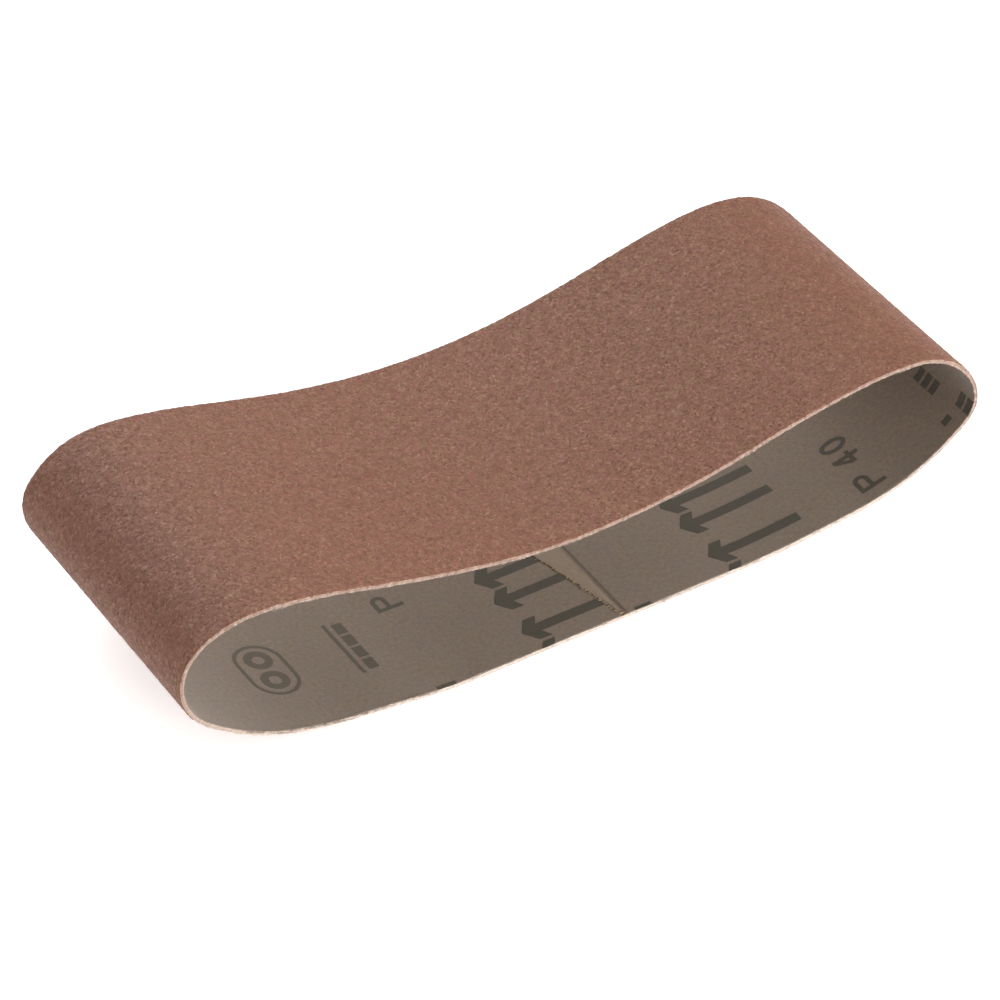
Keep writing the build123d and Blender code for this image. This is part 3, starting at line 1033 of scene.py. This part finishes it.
def arrow_shapes():
    """The running-direction arrows. The lap covers the ends of the first row."""
    shapes = []
    cut = np.array([-1.0, -LAP_SLANT / BELT_WIDTH])
    for tip in ARROW_TIPS:
        for lane in ARROW_LANES:
            ring = np.array(ARROW) + (tip, lane)
            ring = clip(ring, np.array([0.0, 1.0]), -HALF_WIDTH + 0.1)
            if tip < LAP_EDGE and len(ring):
                ring = clip(ring, cut, -(LAP_EDGE + slant(0.0)) + 0.15)
            if len(ring) > 2:
                ring[:, 0] = strip_at(ring[:, 0])
                shapes.append([ring])
    return shapes


TEXT_HEIGHT, TEXT_STROKE = 6.8, 1.1
BOWL_RADIUS = 1.95
BOWL_MIDDLE = TEXT_HEIGHT - BOWL_RADIUS
LETTER_P_SHOULDER = 5.4 - BOWL_RADIUS
FIGURE_WIDTH = 4.3
GRADE_CORNERS = ((84.0, -34.0), (84.0, 14.2), (-32.5, -7.7))


def letter_p():
    outer = [(0, 0), (TEXT_STROKE, 0), (TEXT_STROKE, BOWL_MIDDLE - BOWL_RADIUS)]
    outer += arc((LETTER_P_SHOULDER, BOWL_MIDDLE), BOWL_RADIUS, -90, 90) + [(0, TEXT_HEIGHT)]
    radius = BOWL_RADIUS - TEXT_STROKE
    inner = [(TEXT_STROKE, BOWL_MIDDLE - radius)]
    inner += arc((LETTER_P_SHOULDER, BOWL_MIDDLE), radius, -90, 90)
    inner += [(TEXT_STROKE, BOWL_MIDDLE + radius)]
    return [outer, inner]


def figure_4(shift):
    stem = shift + FIGURE_WIDTH - 2 * TEXT_STROKE
    back, arm = stem + TEXT_STROKE, TEXT_HEIGHT / 4
    arm_top = arm + TEXT_STROKE
    outer = [
        (stem, 0), (back, 0), (back, arm), (back + TEXT_STROKE, arm), (back + TEXT_STROKE, arm_top),
        (back, arm_top), (back, TEXT_HEIGHT), (stem, TEXT_HEIGHT), (shift, arm_top), (shift, arm),
        (stem, arm),
    ]
    inner = [(stem, arm_top), (stem, TEXT_HEIGHT - 2 * TEXT_STROKE), (shift + TEXT_STROKE, arm_top)]
    return [outer, inner]


def figure_0(shift):
    half_width, half_height = FIGURE_WIDTH / 2, TEXT_HEIGHT / 2
    middle = (shift + half_width, half_height)
    sizes = [(half_width - inset, half_height - inset) for inset in (0, TEXT_STROKE)]
    return [arc(middle, width, 0, 345, height / width) for width, height in sizes]


def set_text(rings, x, y):
    """Rings of text that reads along +Y and stands towards -X, with its foot at x, y."""
    turned = []
    for ring in rings:
        ring = np.asarray(ring, float)
        turned.append(np.column_stack([strip_at(x - ring[:, 1]), y + ring[:, 0]]))
    return turned


def grade_shapes():
    """P 40, once for each place where it is printed."""
    return [
        set_text(glyph, x, y)
        for x, y in GRADE_CORNERS
        for glyph in (letter_p(), figure_4(9.7), figure_0(15.3))
    ]


SYMBOL_AT = (-73.4, -15.6)
SYMBOL_LENGTH, SYMBOL_HEIGHT, SYMBOL_LINE = 19.0, 12.0, 0.9
ROLLER_SHIFT, ROLLER_RADIUS, ROLLER_BORE = 3.9, 3.4, 1.5
BLOCK_PITCH, BLOCK_GAP = 4.6, 0.8


def symbol_shapes():
    """A plain symbol of a belt on two rollers, over a bar and a row of blocks."""
    inside = SYMBOL_LENGTH - 2 * SYMBOL_LINE, SYMBOL_HEIGHT - 2 * SYMBOL_LINE
    shapes = [[slot_ring(SYMBOL_LENGTH, SYMBOL_HEIGHT), slot_ring(*inside)]]
    for shift in (-ROLLER_SHIFT, ROLLER_SHIFT):
        shapes.append([arc((shift, 0), radius, 0, 345) for radius in (ROLLER_RADIUS, ROLLER_BORE)])
    shapes.append([rectangle(-SYMBOL_LENGTH / 2, -20.45, SYMBOL_LENGTH / 2, -19.55)])
    half = (BLOCK_PITCH - BLOCK_GAP) / 2
    for block in range(4):
        middle = (block - 1.5) * BLOCK_PITCH
        shapes.append([rectangle(middle - half, -24.3, middle + half, -21.7)])
    return [set_text(rings, *SYMBOL_AT) for rings in shapes]


def edge_mark_shapes():
    """Plain bars of the print that the belt's edge cuts through, and bars on the rear curl."""
    bars = [rectangle(-41.5, -37.4, -36.5, -36.25), rectangle(11.6, -37.4, 16.1, -36.5)]
    for low in (-25.3, -22.4, -19.5):
        bars.append(rectangle(105.8, low, 109.3, low + 2.0))
    for low in (-37.3, -34.4):
        bars.append(rectangle(107.8, low, 111.6, low + 2.1))
    bars.append(rectangle(102.4, -34.2, 105.0, -32.4))
    return [[bar] for bar in bars]


# ---- Build the belt ----

cloth = make_cloth(cloth_material())
coat = make_coat_film(resin_material())
grit = make_grit_face(grit_material())
crystals = make_crystals(crystal_material())
lap = make_lap_end(lap_material())
# The dark colours of this line are partly painted shadow of the raised ragged end.
lap_glue_and_shadow = make_lap_glue_and_shadow(glue_material("lap_glue_and_shadow", srgb(68, 54, 42), srgb(92, 74, 58)))
pale_thread = thread_material("edge_thread", srgb(128, 108, 95), srgb(218, 200, 185))
tan_thread = thread_material("lap_thread", srgb(150, 130, 102), srgb(204, 184, 150))
weft_ends = make_weft_stubs(pale_thread)
fuzz = make_fuzz(pale_thread)
loose_yarns = make_loose_yarns(pale_thread)
lap_yarns = make_lap_yarns(tan_thread)
ink = ink_material()
arrows = make_ink("arrow_ink", arrow_shapes(), ink)
grade = make_ink("grade_ink", grade_shapes(), ink)
symbol = make_ink("symbol_ink", symbol_shapes(), ink)
edge_marks = make_ink("edge_marks", edge_mark_shapes(), ink)

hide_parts("backing_cloth")
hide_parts("make_coat")
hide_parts("size_coat")
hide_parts("abrasive_grain")
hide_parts("direction_arrows")
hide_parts("grade_marks")
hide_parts("belt_symbol")

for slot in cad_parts["splice_glue"].material_slots:
    slot.material = glue_material("glue", srgb(96, 66, 40), srgb(140, 100, 66))


# ---- Floor, light and camera ----

FLOOR_SIZE = 6.0
FLOOR_COLOUR = (0.93, 0.93, 0.93, 1.0)
FLOOR_GLOW = 0.5
WHITE = (1.0, 1.0, 1.0, 1.0)
WORLD_STRENGTH = 0.30
LIGHTS = (
    # name, azimuth, elevation, distance, size in metres, power in watts
    ("front", 5, 8, 1.2, 0.8, 18.1),
    ("key", 30, 22, 1.2, 0.8, 8.9),
    ("right", 75, 18, 1.2, 0.8, 3.2),
    ("rear", 205, 40, 1.3, 1.2, 5.9),
    ("low_rear", 170, 25, 1.3, 1.0, 11.4),
)


def pointing(azimuth, elevation):
    """The unit vector towards a viewer or a light at those angles in degrees."""
    a, e = math.radians(azimuth), math.radians(elevation)
    return Vector((math.sin(a) * math.cos(e), -math.cos(a) * math.cos(e), math.sin(e)))


def make_floor():
    n = Nodes("floor")
    n.shader.inputs["Emission Color"].default_value = WHITE
    n.shader.inputs["Emission Strength"].default_value = FLOOR_GLOW
    material = n.finish(FLOOR_COLOUR, 0.9, 0.1)
    mesh = bpy.data.meshes.new("floor")
    half = FLOOR_SIZE / 2
    corners = [(-half, -half, 0), (half, -half, 0), (half, half, 0), (-half, half, 0)]
    mesh.from_pydata(corners, [], [(0, 1, 2, 3)])
    mesh.materials.append(material)
    floor = add_object("floor", mesh)


def add_light(name, azimuth, elevation, distance, size, energy):
    data = bpy.data.lights.new(name, "AREA")
    data.shape = "DISK"
    data.size = size
    data.energy = energy
    light = add_object(name, data)
    light.location = pointing(azimuth, elevation) * distance
    light.rotation_euler = turned_to(azimuth, elevation)


def make_world():
    world = bpy.data.worlds.new("studio")
    world.use_nodes = True
    background = world.node_tree.nodes["Background"]
    background.inputs["Color"].default_value = WHITE
    background.inputs["Strength"].default_value = WORLD_STRENGTH
    scene.world = world


CAMERA_AZIMUTH = -32.23
CAMERA_ELEVATION = 39.88
CAMERA_ROLL = 0.28
CAMERA_DISTANCE = 1237.1
CAMERA_TARGET = Vector((-1.82, 0.05, 13.34))
CAMERA_LENS = 192.56
SENSOR_WIDTH = 36.0


def turned_to(azimuth, elevation, roll=0.0):
    """The rotation of a camera or a light that stands at those angles and looks back."""
    facing = Euler((math.pi / 2 - math.radians(elevation), 0, math.radians(azimuth))).to_matrix()
    return (facing @ Matrix.Rotation(math.radians(roll), 3, "Z")).to_euler()


def make_camera():
    data = bpy.data.cameras.new("camera")
    data.lens = CAMERA_LENS
    data.sensor_width = SENSOR_WIDTH
    camera = add_object("camera", data)
    towards = pointing(CAMERA_AZIMUTH, CAMERA_ELEVATION)
    camera.location = (CAMERA_TARGET + towards * CAMERA_DISTANCE) * MM
    camera.rotation_euler = turned_to(CAMERA_AZIMUTH, CAMERA_ELEVATION, CAMERA_ROLL)
    scene.camera = camera


make_floor()
make_world()
for light in LIGHTS:
    add_light(*light)
make_camera()
scene.view_settings.view_transform = "Standard"
scene.view_settings.look = "None"
